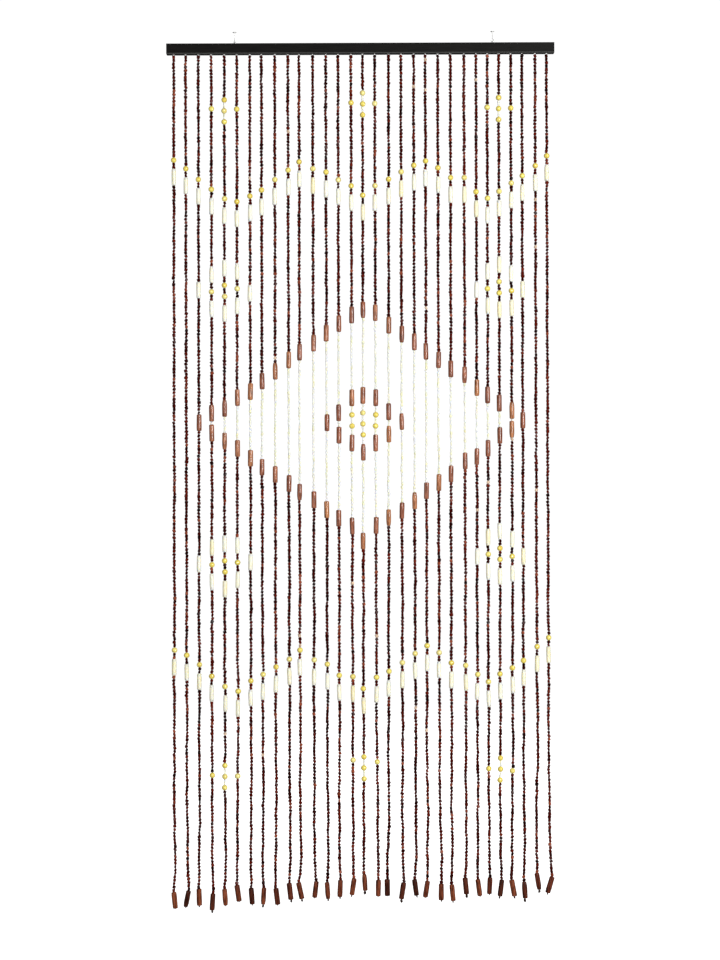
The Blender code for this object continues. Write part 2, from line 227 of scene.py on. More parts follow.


# The strings: where each one hangs and what is threaded on it, in millimetres, with heights
# down from the top of the rail. The numbers in these rows were measured on the photograph by
# other scripts. One of them wrote at_band and at_foot here itself, and most of the rest was
# typed from what the others printed. The rows should be replaced.
STRING_COLUMNS = ("across", "at_mid", "at_band", "at_low", "at_foot", "at_end",
                  "zig_high", "dia_high", "dia_low", "zig_low", "end", "lean")
STRING_ROWS = (
    (-433.5, -3.0, -4.5, -4.5, -3.0, -5.0, 269, None, None, 1407, 1988, 5),
    (-406.0, -2.0, -2.5, -2.5, -2.0, -3.0, 289, None, None, 1419, 1985, -7),
    (-376.5, -2.5, -3.0, -3.5, -4.0, -4.5, 314, 879, None, 1441, 1981, 1),
    (-346.5, -2.5, -4.0, -3.5, -4.0, -4.0, 337, 857, 903, 1468, 1992, -1),
    (-316.0, -3.5, -4.0, -4.0, -4.0, -4.5, 359, 846, 922, 1492, 1981, 2),
    (-287.0, -3.0, -2.5, -5.0, -6.0, -3.5, 366, 821, 939, 1503, 1972, 4),
    (-257.0, -2.0, -2.5, -2.5, -3.5, -3.0, 353, 807, 962, 1479, 1979, 3),
    (-230.0, -2.0, -1.5, -2.0, -3.0, -2.5, 339, 783, 983, 1464, 1979, -2),
    (-199.0, -2.5, -2.5, -3.0, -3.5, -3.0, 315, 760, 1000, 1447, 1980, 3),
    (-168.5, -1.0, -1.5, -1.0, -1.5, -0.5, 293, 734, 1021, 1429, 1968, 5),
    (-142.5, -2.5, -2.5, -3.0, -2.0, -3.5, 274, 716, 1041, 1408, 1967, 8),
    (-111.0, -1.0, -2.0, -1.5, -1.5, -1.5, 290, 695, 1059, 1431, 1964, -5),
    (-80.5, -1.0, -1.5, -1.5, -0.5, -1.5, 298, 672, 1082, 1441, 1967, 2),
    (-52.0, -1.5, -2.0, -2.5, -3.5, -2.0, 316, 650, 1102, 1467, 1962, 0),
    (-22.0, -1.0, -0.5, -2.0, -0.5, -2.0, 330, 630, 1120, 1470, 1958, -5),
    (5.0, -2.5, -3.0, -2.5, -4.0, -3.0, 352, 618, 1155, 1498, 1948, 2),
    (33.0, -0.5, -0.5, 1.5, 2.0, 1.5, 330, 625, 1119, 1472, 1961, -2),
    (65.5, -4.0, -6.0, -5.0, -9.0, -9.5, 315, 654, 1101, 1458, 1960, 0),
    (94.0, -1.0, -1.5, -2.5, -2.0, -3.5, 298, 675, 1085, 1438, 1968, -5),
    (123.5, -1.0, -0.5, -0.5, -1.0, -1.5, 283, 693, 1062, 1417, 1960, 6),
    (150.5, -0.5, -1.5, 0.0, -1.0, -3.5, 273, 715, 1039, 1399, 1964, -5),
    (179.5, -1.0, -1.0, 0.0, 2.0, 2.0, 289, 735, 1020, 1415, 1971, 0),
    (209.0, -2.5, -2.5, -3.0, -2.5, -2.5, 312, 756, 1000, 1439, 1973, 4),
    (240.5, -1.0, -0.5, -1.0, -1.5, -1.5, 312, 770, 970, 1445, 1957, 3),
    (268.5, -1.5, -2.0, -2.0, -1.5, -0.5, 345, 800, 960, 1466, 1961, 4),
    (294.5, -2.0, -2.0, -1.5, -2.0, -1.0, 360, 817, 941, 1483, 1957, 0),
    (321.0, -1.0, -1.5, -2.0, -2.0, -2.0, 344, 836, 911, 1465, 1962, -4),
    (349.0, 0.0, -0.5, -2.0, -4.0, -1.5, 325, 853, 897, 1451, 1962, 8),
    (375.0, -1.0, -1.0, -0.5, -0.5, -0.5, 308, 876, None, 1434, 1967, 2),
    (405.5, -0.5, 1.0, -2.5, -2.0, -0.5, 285, None, None, 1402, 1947, 6),
    (432.0, 0.0, 0.0, 0.5, 3.0, 2.0, 262, None, None, 1381, 1955, -12),
)
STRINGS = [dict(zip(STRING_COLUMNS, row)) for row in STRING_ROWS]
MID_HEIGHT = 1.316
BAND_HEIGHT = 1.640
LOW_HEIGHT = 1.780
FOOT_HEIGHT = 1.890
TUBE_LENGTH = 0.038
TUBE_WIDTH = 0.0117
BALL_WIDTH = 0.0132
BALL_TO_TUBE = 0.0395
RAIL_TOP = RAIL_HIGH.z
RAIL_HEIGHT = RAIL_HIGH.z - RAIL_LOW.z

# Layouts of the motifs, in millimetres from a motif's middle, by distance from its middle string
LAYOUTS = {
    "star": {0: (("ball", -25.5), ("ball", 0), ("ball", 25.5)),
             1: (("ball", 0),)},
    "flower": {0: (("tube", -52.5), ("ball", -13), ("ball", 13), ("tube", 52.5)),
               1: (("tube", -40), ("ball", 0), ("tube", 40)),
               2: (("tube", 0),)},
    "hexagon": {0: (("tube", -66), ("ball", -25.5), ("ball", 0), ("ball", 25.5), ("tube", 66)),
                1: (("tube", -52.5), ("ball", -13), ("ball", 13), ("tube", 52.5)),
                2: (("tube", -26), ("tube", 26)),
                3: (("tube", 0),)},
}
# One row for each motif: its layout, its first string, and its middle's height on each string
MOTIF_ROWS = (
    ("star", 3, (150, 155, 151)),
    ("star", 14, (137, 140, 139)),
    ("star", 25, (149, 152, 151)),
    ("flower", 2, (571, 575, 573, 568, 579)),
    ("flower", 24, (572, 570, 567, 575, 572)),
    ("hexagon", 12, (880, 883, 875, 883, 875, 881, 878)),
    ("flower", 2, (1207, 1209, 1213, 1204, 1203)),
    ("flower", 24, (1192, 1187, 1186, 1192, 1192)),
    ("star", 3, (1698, 1701, 1700)),
    ("star", 14, (1664, 1682, 1668)),
    ("star", 25, (1685, 1686, 1690)),
)


def beads_on(number):
    """Lists a string's tubes and balls from the top down, as (kind, middle in metres, group)."""
    string = STRINGS[number]
    beads = []
    for band in ("zig_high", "zig_low"):
        ball = string[band] * MM
        beads.append(("ball", ball, "band"))
        beads.append(("cream_tube", ball + BALL_TO_TUBE, "band"))
    for edge in ("dia_high", "dia_low"):
        if string[edge] is not None:
            beads.append(("brown_tube", string[edge] * MM, "diamond"))
    for layout, first, heights in MOTIF_ROWS:
        if first <= number < first + len(heights):
            reach = abs(number - first - len(heights) // 2)
            for kind, offset in LAYOUTS[layout][reach]:
                group = "diamond" if layout == "hexagon" else layout
                if kind == "tube":
                    kind = "brown_tube" if layout == "hexagon" else "cream_tube"
                beads.append((kind, (heights[number - first] + offset) * MM, group))
    beads.append(("end_tube", string["end"] * MM, "end"))
    return sorted(beads, key=lambda bead: bead[1])


def stray_at(string, height):
    """Says how far sideways a string has strayed at a height below the top of the rail."""
    end = string["end"] * MM
    lean = string["lean"] * MM / 2
    stops = (
        (RAIL_HEIGHT, 0.0),
        (MID_HEIGHT, string["at_mid"] * MM),
        (BAND_HEIGHT, string["at_band"] * MM),
        (LOW_HEIGHT, string["at_low"] * MM),
        (FOOT_HEIGHT, string["at_foot"] * MM),
        (end - TUBE_LENGTH / 2, string["at_end"] * MM - lean),
        (end + TUBE_LENGTH / 2, string["at_end"] * MM + lean),
    )
    for (above, left), (below, right) in zip(stops, stops[1:]):
        if height <= below:
            share = max(0.0, (height - above) / (below - above))
            return left + (right - left) * share
    return stops[-1][1]


# A slack string never hangs quite straight: it wanders in slow waves that grow towards its foot
WANDER_TOP = 0.0003
WANDER_FOOT = 0.0009
WANDER_EASE = 0.05
WAVES = ((0.310, 0.8), (0.130, 0.6), (0.058, 0.45))
draw = random.Random(31)
PHASES = [[(draw.uniform(0, math.tau), draw.uniform(0, math.tau)) for _ in WAVES]
          for _ in STRINGS]


def place_at(number, height):
    """The middle of a string at a height below the top of the rail."""
    string = STRINGS[number]
    drop = height / (string["end"] * MM)
    size = WANDER_TOP + (WANDER_FOOT - WANDER_TOP) * drop * drop
    size *= min(1.0, max(0.0, height - RAIL_HEIGHT) / WANDER_EASE)
    side = back = 0.0
    for (length, share), (first, second) in zip(WAVES, PHASES[number]):
        side += share * math.sin(math.tau * height / length + first)
        back += share * math.sin(math.tau * height / length + second)
    x = string["across"] * MM + stray_at(string, height) + side * size
    return Vector((x, back * size, RAIL_TOP - height))


# Each string hangs from a small bright screw eye turned into the strip: a ring of wire on a
# short shank, with a worn plated finish. All the rings were turned in to about the same side.
EYE_RING = 0.0012
EYE_WIRE = 0.0009
EYE_DROP = 0.0002
EYE_SHANK = 0.0016
EYE_SIDES = 8


def bright_metal(name, metallic):
    """Plated steel wire: bright, with fine drawing marks and dull spots."""
    material, tree, shader = finish_of(name, 0.4, metallic)
    spots = stretched_noise(tree, (1.0, 1.0, 1.0), 700.0, 3.0)
    tint = colour_ramp(tree, spots, ((0.3, (0.78, 0.78, 0.76)), (0.7, (0.94, 0.94, 0.92))))
    tree.links.new(tint, shader.inputs["Base Color"])
    vary_roughness(tree, shader, spots, 0.35, 0.55)
    marks = stretched_noise(tree, (1.0, 1.0, 0.1), 2500.0, 2.0)
    raise_grain(tree, shader, marks, 0.15, 0.00005)
    return material


def joined(parts, name):
    """Joins several objects into the first, as one mesh of shells."""
    bpy.ops.object.select_all(action="DESELECT")
    for part in parts:
        part.select_set(True)
    bpy.context.view_layer.objects.active = parts[0]
    bpy.ops.object.join()
    parts[0].name = name
    settle(parts[0])
    return parts[0]


def thread_copies(name, patterns, spots, material, slot, crease=38):
    """Sets copies of one or more patterns on their spots, as one mesh.

    A spot is (which pattern, place, turn as a matrix, size, tone). The tone goes with each copy.
    """
    parts = []
    for which, pattern in enumerate(patterns):
        mine = [spot for spot in spots if spot[0] == which]
        if not mine:
            continue
        mesh = bpy.data.meshes.new(f"{name}_{which}")
        mesh.from_pydata([spot[1] for spot in mine], [], [])
        turns = [value for spot in mine for value in spot[2].to_euler("XYZ")]
        sizes = [value for spot in mine for value in spot[3]]
        mesh.attributes.new("turn", "FLOAT_VECTOR", "POINT").data.foreach_set("vector", turns)
        mesh.attributes.new("size", "FLOAT_VECTOR", "POINT").data.foreach_set("vector", sizes)
        tones = [spot[4] for spot in mine]
        mesh.attributes.new("tone", "FLOAT", "POINT").data.foreach_set("value", tones)
        part = bpy.data.objects.new(f"{name}_{which}", mesh)
        bpy.context.collection.objects.link(part)
        tree = bpy.data.node_groups.new(f"{name}_copies", "GeometryNodeTree")
        tree.interface.new_socket("Geometry", in_out="INPUT", socket_type="NodeSocketGeometry")
        tree.interface.new_socket("Geometry", in_out="OUTPUT", socket_type="NodeSocketGeometry")
        start = tree.nodes.new("NodeGroupInput")
        end = tree.nodes.new("NodeGroupOutput")
        info = tree.nodes.new("GeometryNodeObjectInfo")
        info.inputs["Object"].default_value = pattern
        turn = tree.nodes.new("GeometryNodeInputNamedAttribute")
        turn.data_type = "FLOAT_VECTOR"
        turn.inputs["Name"].default_value = "turn"
        as_turn = tree.nodes.new("FunctionNodeEulerToRotation")
        size = tree.nodes.new("GeometryNodeInputNamedAttribute")
        size.data_type = "FLOAT_VECTOR"
        size.inputs["Name"].default_value = "size"
        copies = tree.nodes.new("GeometryNodeInstanceOnPoints")
        real = tree.nodes.new("GeometryNodeRealizeInstances")
        link = tree.links.new
        link(start.outputs[0], copies.inputs["Points"])
        link(info.outputs["Geometry"], copies.inputs["Instance"])
        link(turn.outputs["Attribute"], as_turn.inputs[0])
        link(as_turn.outputs[0], copies.inputs["Rotation"])
        link(size.outputs["Attribute"], copies.inputs["Scale"])
        link(copies.outputs[0], real.inputs[0])
        link(real.outputs[0], end.inputs[0])
        modifier = part.modifiers.new("copies", "NODES")
        modifier.node_group = tree
        alone(part)
        bpy.ops.object.modifier_apply(modifier=modifier.name)
        parts.append(part)
    piece = joined(parts, name)
    for used in ("turn", "size"):
        piece.data.attributes.remove(piece.data.attributes[used])
    piece.data.materials.clear()
    piece.data.materials.append(material)
    alone(piece)
    bpy.ops.object.shade_smooth_by_angle(angle=math.radians(crease))
    hand_over(piece, slot)


def forget(*patterns):
    """Takes the patterns away once their copies are made."""
    for pattern in patterns:
        bpy.data.objects.remove(pattern, do_unlink=True)


bpy.ops.mesh.primitive_torus_add(major_radius=EYE_RING, minor_radius=EYE_WIRE, major_segments=20,
                                 minor_segments=EYE_SIDES, rotation=(math.pi / 2, 0, 0))
eye_ring = bpy.context.object
bpy.ops.mesh.primitive_cylinder_add(vertices=EYE_SIDES, radius=EYE_WIRE, depth=EYE_SHANK,
                                    location=(0, 0, EYE_RING + EYE_SHANK / 2))
eye_shank = bpy.context.object
bpy.ops.object.mode_set(mode="EDIT")
bpy.ops.mesh.select_all(action="SELECT")
bpy.ops.mesh.bisect(plane_co=(0, 0, EYE_DROP + EYE_WIRE), plane_no=(0, 0, 1))
bpy.ops.transform.resize(value=(1.4, 1.4, 1.0))
bpy.ops.object.mode_set(mode="OBJECT")
eye_pattern = joined([eye_ring, eye_shank], "eye_pattern")
STRING_METAL = bright_metal("string_eye_plating", 0.1)
draw = random.Random(7)
eye_spots = []
for string in STRINGS:
    turn = Matrix.Rotation(draw.gauss(0.3, 0.3), 3, "Z")
    spot = Vector((string["across"] * MM, 0.0, RAIL_LOW.z - EYE_DROP))
    eye_spots.append((0, spot, turn, (1, 1, 1), draw.random()))
thread_copies("string_eyes", [eye_pattern], eye_spots, STRING_METAL, "hanging_metal")
forget(eye_pattern)


# The thread is dark waxed cord, one length for each string: it starts in the screw eye, runs
# through every bead, and shows only at the top, in the gaps between beads, and at the knot.
THREAD_WIDTH = 0.0011
THREAD_STEP = 0.028
KNOT_DROP = 0.0050
draw = random.Random(31)
KNOT_SIZES = [draw.uniform(0.25, 1.30) for _ in STRINGS]


def waxed_thread():
    """Dark waxed thread, with its ply showing as fine slanting ridges."""
    material, tree, shader = finish_of("waxed_thread", 0.6)
    ply = stretched_noise(tree, (1.0, 1.0, 0.5), 2600.0, 2.0)
    tint = colour_ramp(tree, ply, ((0.3, (0.010, 0.004, 0.003)), (0.7, (0.040, 0.018, 0.012))))
    tree.links.new(tint, shader.inputs["Base Color"])
    raise_grain(tree, shader, ply, 0.5, 0.0001)
    shader.inputs["Specular IOR Level"].default_value = 0.2
    return material


WAXED = waxed_thread()
route = bpy.data.curves.new("threads", "CURVE")
route.dimensions = "3D"
route.bevel_depth = THREAD_WIDTH / 2
route.bevel_resolution = 1
route.use_fill_caps = True
for number, string in enumerate(STRINGS):
    foot = string["end"] * MM + TUBE_LENGTH / 2 + KNOT_DROP * KNOT_SIZES[number]
    top = RAIL_HEIGHT + EYE_DROP + EYE_RING
    steps = round((foot - top) / THREAD_STEP)
    spline = route.splines.new("POLY")
    spline.points.add(steps)
    for at, point in enumerate(spline.points):
        point.co = (*place_at(number, top + (foot - top) * at / steps), 1.0)
threads = bpy.data.objects.new("threads", route)
bpy.context.collection.objects.link(threads)
alone(threads)
bpy.ops.object.convert(target="MESH")
threads = bpy.context.object
threads.data.materials.append(WAXED)
bpy.ops.object.shade_smooth()
hand_over(threads, "thread")


# The small beads are short barrels cut from thin rod, about 7 mm wide and 7.5 mm long. They
# are uneven and sit askew on the thread, so that a string looks like a rough twisted cord.
# They are modelled without a hole, and where they lean their rims run into their neighbours.
SMALL_WIDTH = 0.0068
SMALL_FLARE = 1.10
SMALL_LENGTH = 0.0076
SMALL_PITCH = 0.00783
SMALL_EDGE = 0.0010
SMALL_SIDES = 8
FIRST_BEAD = 0.0021
TILT = 0.42
TILT_SPREAD = 0.10
BEARING_STEP = 0.30
BEARING_SPREAD = 0.45
WIDTH_SPREAD = 0.09
OFF_LINE = 0.0003
TONE_MIDDLE = 0.42
TONE_SPREAD = 0.24
LIGHTEST_STAIN = 0.98
TURNED_OVER = 0.3
PALE_WIDTH = 0.72
PALE_LENGTH = 1.04
PALE_TILT = 0.6
ODD_SHARE = 0.004
THIRDS = (11, 21, 31)


def stained_beads():
    """Dark red-brown stain on small beads, uneven from bead to bead, under thin varnish."""
    material, tree, shader = finish_of("dark_stain", 0.42)
    tone = add_node(tree, "ShaderNodeAttribute", attribute_name="tone").outputs["Fac"]
    tint = colour_ramp(tree, tone, (
        (0.0, (0.012, 0.0007, 0.0004)), (0.45, (0.054, 0.0026, 0.0011)),
        (0.75, (0.130, 0.0105, 0.0042)), (0.985, (0.300, 0.075, 0.038)),
        (1.0, (0.70, 0.55, 0.42))))
    fibres = stretched_noise(tree, (1.0, 1.0, 0.22), 620.0, 4.0, tone)
    light = colour_ramp(tree, fibres, ((0.35, (0.55, 0.50, 0.48)), (0.70, (1.5, 1.4, 1.3))))
    tree.links.new(mixed(tree, 1.0, tint, light, "MULTIPLY"), shader.inputs["Base Color"])
    vary_roughness(tree, shader, fibres, 0.20, 0.36)
    raise_grain(tree, shader, fibres, 0.30, 0.00020)
    shader.inputs["Specular IOR Level"].default_value = 0.06
    return material


def pale_beads():
    """Pale natural wood on the small beads of the diamond, some of them more yellow."""
    material, tree, shader = finish_of("pale_bead_wood", 0.5)
    tone = add_node(tree, "ShaderNodeAttribute", attribute_name="tone").outputs["Fac"]
    tint = colour_ramp(tree, tone, (
        (0.0, (0.99, 0.98, 0.88)), (0.6, (0.99, 0.97, 0.78)), (1.0, (0.93, 0.90, 0.58))))
    fibres = stretched_noise(tree, (1.0, 1.0, 0.22), 620.0, 4.0, tone)
    light = colour_ramp(tree, fibres, ((0.35, (0.95, 0.94, 0.91)), (0.65, (1.0, 1.0, 1.0))))
    tree.links.new(mixed(tree, 1.0, tint, light, "MULTIPLY"), shader.inputs["Base Color"])
    vary_roughness(tree, shader, fibres, 0.40, 0.65)
    raise_grain(tree, shader, fibres, 0.2, 0.0002)
    shader.inputs["Subsurface Weight"].default_value = 0.9
    shader.inputs["Subsurface Radius"].default_value = (1.0, 0.9, 0.65)
    shader.inputs["Subsurface Scale"].default_value = 0.006
    return material


def choose(thing, wanted):
    """Selects, in edit mode, the faces whose middles pass a test, and nothing else."""
    bpy.ops.mesh.select_all(action="DESELECT")
    bpy.ops.object.mode_set(mode="OBJECT")
    for face in thing.data.polygons:
        face.select = wanted(face)
    bpy.ops.object.mode_set(mode="EDIT")


bpy.ops.mesh.primitive_cylinder_add(vertices=SMALL_SIDES, radius=SMALL_WIDTH / 2,
                                    depth=SMALL_LENGTH, end_fill_type="NGON")
small_pattern = bpy.context.object
bpy.ops.object.mode_set(mode="EDIT")
bpy.ops.mesh.select_mode(type="FACE")
choose(small_pattern, lambda face: abs(face.normal.z) > 0.9)
bpy.ops.mesh.bevel(offset=SMALL_EDGE, segments=1, affect="EDGES")
bpy.ops.mesh.select_all(action="SELECT")
bpy.ops.mesh.bisect(plane_co=(0, 0, 0), plane_no=(0, 0, 1))
bpy.ops.transform.resize(value=(1.04, 1.04, 1.0))
choose(small_pattern, lambda face: face.center.z > SMALL_LENGTH * 0.35)
bpy.ops.transform.resize(value=(SMALL_FLARE, SMALL_FLARE, 1.0), center_override=(0, 0, 0))
bpy.ops.object.mode_set(mode="OBJECT")

DARK = stained_beads()
PALE = pale_beads()
draw = random.Random(104)
dark_spots = []
pale_spots = []
for number, string in enumerate(STRINGS):
    edge = RAIL_HEIGHT + FIRST_BEAD
    group = "rail"
    bearing = draw.uniform(0, math.tau)
    string_tone = draw.uniform(-0.10, 0.12)
    for kind, middle, own_group in beads_on(number):
        half = (BALL_WIDTH if kind == "ball" else TUBE_LENGTH) / 2
        gap = middle - half - edge
        count = max(1, round(gap / SMALL_PITCH))
        pitch = gap / count
        pale = group == own_group and group in ("diamond", "star")
        for at in range(count):
            height = edge + (at + 0.5) * pitch
            bearing += draw.gauss(BEARING_STEP, BEARING_SPREAD)
            tilt = abs(draw.gauss(TILT, TILT_SPREAD)) * (PALE_TILT if pale else 1.0)
            if draw.random() < TURNED_OVER:
                tilt += math.pi
            turn = (Matrix.Rotation(bearing, 3, "Z") @ Matrix.Rotation(tilt, 3, "X")
                    @ Matrix.Rotation(draw.uniform(0, math.tau), 3, "Z"))
            wide = draw.gauss(1.0, WIDTH_SPREAD)
            oval = draw.uniform(0.94, 1.06)
            long = pitch / SMALL_PITCH * draw.uniform(0.86, 1.06)
            size = (wide * oval, wide, long)
            aside = Vector((draw.gauss(0, OFF_LINE), draw.gauss(0, OFF_LINE), 0))
            spot = place_at(number, height) + aside
            tone = draw.gauss(TONE_MIDDLE + string_tone, TONE_SPREAD)
            tone = min(LIGHTEST_STAIN, max(0.0, tone))
            if draw.random() < ODD_SHARE:
                tone = 1.0
            if pale:
                size = (PALE_WIDTH * size[0], PALE_WIDTH * size[1], PALE_LENGTH * size[2])
                pale_spots.append((0, spot, turn, size, draw.random()))
            else:
                dark_spots.append((0, spot, turn, size, tone, number))
        edge = middle + half
        group = own_group
first = 0
for side, last in zip(("left", "middle", "right"), THIRDS):
    spots = [spot[:5] for spot in dark_spots if first <= spot[5] < last]
    thread_copies(f"dark_beads_{side}", [small_pattern], spots, DARK, "dark_beads", crease=40)
    first = last
thread_copies("pale_beads", [small_pattern], pale_spots, PALE, "cream_beads", crease=50)
forget(small_pattern)


# The long tubes are turned wooden beads, 38 mm long and 11 to 13 mm wide. Most are slight
# barrels with rounded ends, some are straight, and some were turned thinner at one end. The
# holes are modelled as recesses. STOUTNESS makes them as wide in the render as in the photograph.
HOLE_WIDTH = 0.0030
HOLE_DEPTH = 0.004
TUBE_EDGE = 0.0011
TUBE_SIDES = 16
STOUTNESS = {"cream_tube": 0.94, "brown_tube": 1.06, "end_tube": 1.12, "ball": 1.0}
TUBE_FORMS = (
    ((-0.46, 0.90), (-0.28, 0.985), (0.0, 1.0), (0.28, 0.985), (0.46, 0.90)),
    ((-0.47, 0.96), (-0.25, 0.99), (0.0, 0.985), (0.25, 0.99), (0.47, 0.955)),
    ((-0.46, 0.89), (-0.20, 0.99), (0.05, 1.0), (0.27, 0.94), (0.43, 0.79)),
)


def turned_tube(form):
    """Turns one tube bead: a drum cut into rings of the form's widths, rounded and drilled."""
    bpy.ops.mesh.primitive_cylinder_add(vertices=TUBE_SIDES, radius=TUBE_WIDTH / 2,
                                        depth=TUBE_LENGTH, end_fill_type="NGON")
    tube = bpy.context.object
    bpy.ops.object.mode_set(mode="EDIT")
    bpy.ops.mesh.select_mode(type="FACE")
    for along, wide in form:
        bpy.ops.mesh.select_all(action="SELECT")
        bpy.ops.mesh.bisect(plane_co=(0, 0, along * TUBE_LENGTH), plane_no=(0, 0, 1))
        bpy.ops.transform.resize(value=(wide, wide, 1.0), center_override=(0, 0, 0))
    for end, (_, wide) in ((-1, form[0]), (1, form[-1])):
        choose(tube, lambda face: face.normal.z * end > 0.9)
        bpy.ops.transform.resize(value=(wide * 0.95, wide * 0.95, 1.0), center_override=(0, 0, 0))
        bpy.ops.mesh.bevel(offset=TUBE_EDGE, segments=2, affect="EDGES")
        choose(tube, lambda face: face.normal.z * end > 0.9 and face.center.z * end > 0)
        rim = TUBE_WIDTH / 2 * wide * 0.95 - TUBE_EDGE
        bpy.ops.mesh.inset(thickness=rim - HOLE_WIDTH / 2)
        bpy.ops.mesh.extrude_region_move(TRANSFORM_OT_translate={"value": (0, 0, -end * HOLE_DEPTH)})
    bpy.ops.object.mode_set(mode="OBJECT")
    return tube


def stained_tubes(name, stops, dark, coat):
    """Stain on turned tubes: streaks along the grain, and dark pores, under varnish."""
    material, tree, shader = finish_of(name, 0.35)
    tone = add_node(tree, "ShaderNodeAttribute", attribute_name="tone").outputs["Fac"]
    tint = colour_ramp(tree, tone, stops)
    streaks = stretched_noise(tree, (1.0, 1.0, 0.16), 330.0, 5.0, tone)
    light = colour_ramp(tree, streaks, ((0.36, dark), (0.58, (1.20, 1.17, 1.14))))
    toned = mixed(tree, 1.0, tint, light, "MULTIPLY")
    pores = stretched_noise(tree, (1.0, 1.0, 0.16), 1300.0, 2.0, tone)
    pitted = colour_ramp(tree, pores, ((0.62, (0.0, 0.0, 0.0)), (0.72, (0.75, 0.75, 0.75))))
    low = tuple(0.45 * part for part in stops[0][1])
    tree.links.new(mixed(tree, pitted, toned, low), shader.inputs["Base Color"])
    vary_roughness(tree, shader, streaks, 0.26, 0.48)
    raise_grain(tree, shader, streaks, 0.35, 0.00025)
    shader.inputs["Specular IOR Level"].default_value = 0.10
    shader.inputs["Coat Weight"].default_value = coat
    shader.inputs["Coat Roughness"].default_value = 0.08
    return material


def pale_wood():
    """Natural pale wood, sealed, with faint yellow grain."""
    material, tree, shader = finish_of("pale_tube_wood", 0.42)
    tone = add_node(tree, "ShaderNodeAttribute", attribute_name="tone").outputs["Fac"]
    tint = colour_ramp(tree, tone, ((0.0, (0.98, 0.94, 0.82)), (0.7, (0.97, 0.91, 0.72)),
                                    (1.0, (0.94, 0.83, 0.56))))
    streaks = stretched_noise(tree, (1.0, 1.0, 0.09), 480.0, 5.0, tone)
    light = colour_ramp(tree, streaks, ((0.32, (0.96, 0.90, 0.78)), (0.60, (1.0, 1.0, 1.0))))
    tree.links.new(mixed(tree, 1.0, tint, light, "MULTIPLY"), shader.inputs["Base Color"])
    vary_roughness(tree, shader, streaks, 0.34, 0.55)
    raise_grain(tree, shader, streaks, 0.25, 0.0002)
    shader.inputs["Subsurface Weight"].default_value = 0.8
    shader.inputs["Subsurface Radius"].default_value = (1.0, 0.9, 0.7)
    shader.inputs["Subsurface Scale"].default_value = 0.008
    return material


def leaning(number, middle, half):
    """The turn that lays a bead along its string."""
    along = place_at(number, middle - half) - place_at(number, middle + half)
    return along.to_track_quat("Z", "Y").to_matrix()


tube_patterns = [turned_tube(form) for form in TUBE_FORMS]
draw = random.Random(12)
big_spots = {"cream_tube": [], "brown_tube": [], "end_tube": [], "ball": []}
for number in range(len(STRINGS)):
    for kind, middle, _ in beads_on(number):
        half = (BALL_WIDTH if kind == "ball" else TUBE_LENGTH) / 2
        turn = leaning(number, middle, half) @ Matrix.Rotation(draw.uniform(0, math.tau), 3, "Z")
        if draw.random() < 0.5:
            turn = turn @ Matrix.Rotation(math.pi, 3, "X")
        wide = draw.gauss(1.0, 0.02) * STOUTNESS[kind]
        which = 0 if kind == "ball" else draw.choice((0, 0, 1, 2))
        long = draw.uniform(0.985, 1.015)
        spot = (which, place_at(number, middle), turn, (wide, wide, long), draw.random())
        big_spots[kind].append(spot)

MID_BROWN = ((0.0, (0.25, 0.082, 0.044)), (0.55, (0.34, 0.125, 0.070)),
             (1.0, (0.45, 0.190, 0.080)))
DEEP_BROWN = ((0.0, (0.050, 0.012, 0.0060)), (0.5, (0.120, 0.026, 0.0120)),
              (1.0, (0.240, 0.065, 0.028)))
thread_copies("cream_tubes", tube_patterns, big_spots["cream_tube"], pale_wood(), "cream_beads")
brown = stained_tubes("brown_stain", MID_BROWN, (0.38, 0.30, 0.26), 0.50)
thread_copies("brown_tubes", tube_patterns, big_spots["brown_tube"], brown, "brown_tubes")
deep = stained_tubes("deep_stain", DEEP_BROWN, (0.26, 0.20, 0.17), 0.10)
thread_copies("end_tubes", tube_patterns, big_spots["end_tube"], deep, "brown_tubes")
forget(*tube_patterns)


# The balls are turned wooden beads, 13 mm across, dipped in golden yellow lacquer. Each pole has
# a small flat with a rim, sunk a little where the hole would start.
POLE = 0.945
BALL_RIM = 0.0004
BALL_RECESS = 0.002
BALL_SIDES = 20


def golden_lacquer():
    """Golden yellow lacquer over wood, with soft rings of grain and paler spots."""
    material, tree, shader = finish_of("golden_lacquer", 0.3)
    tone = add_node(tree, "ShaderNodeAttribute", attribute_name="tone").outputs["Fac"]
    tint = colour_ramp(tree, tone, ((0.0, (0.93, 0.77, 0.13)), (0.7, (0.98, 0.87, 0.19)),
                                    (1.0, (1.00, 0.93, 0.38))))
    rings = stretched_noise(tree, (1.0, 1.0, 0.35), 330.0, 4.0, tone)
    light = colour_ramp(tree, rings, ((0.35, (0.80, 0.67, 0.46)), (0.62, (1.01, 1.01, 1.01))))
    tree.links.new(mixed(tree, 1.0, tint, light, "MULTIPLY"), shader.inputs["Base Color"])
    vary_roughness(tree, shader, rings, 0.25, 0.42)
    raise_grain(tree, shader, rings, 0.2, 0.0002)
    shader.inputs["Coat Weight"].default_value = 0.8
    shader.inputs["Coat Roughness"].default_value = 0.12
    return material


